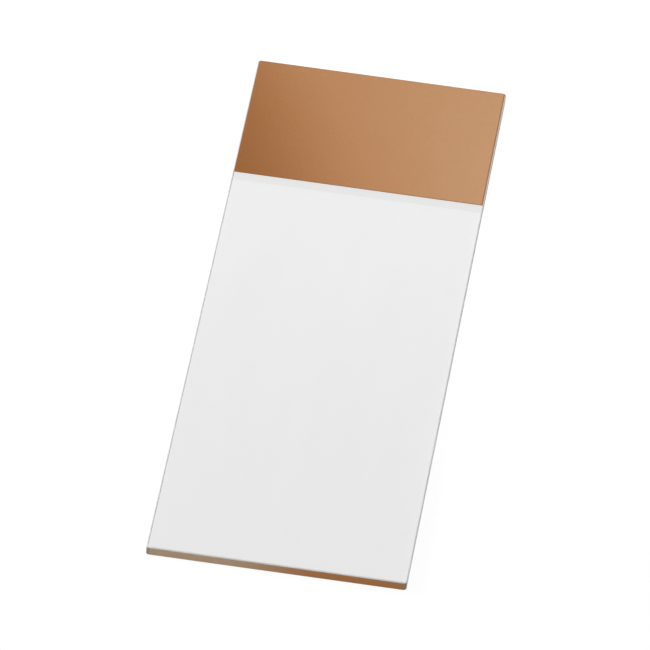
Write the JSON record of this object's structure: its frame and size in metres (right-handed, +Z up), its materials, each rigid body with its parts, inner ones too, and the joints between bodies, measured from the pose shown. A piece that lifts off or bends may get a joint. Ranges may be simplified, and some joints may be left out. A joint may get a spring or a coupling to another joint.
{
  "type": "microscope slide",
  "caption": "Flat glass microscope slide with ground edges and a thin tan coat across one end to write on.",
  "frame": {"origin": "middle of the face that the slide rests on", "axes": "+Z up out of the coated face, +Y along the slide towards the coated end, +X across its width"},
  "size_m": [0.025, 0.075, 0.001],
  "materials": {
    "clear_glass": "polished faces, satin ground edges",
    "tan_coat": "satin with a fine tooth, cured on the glass"
  },
  "bodies": {
    "root": {"glass_plate": "clear_glass", "label_coat": "tan_coat"}
  },
  "joints": []
}
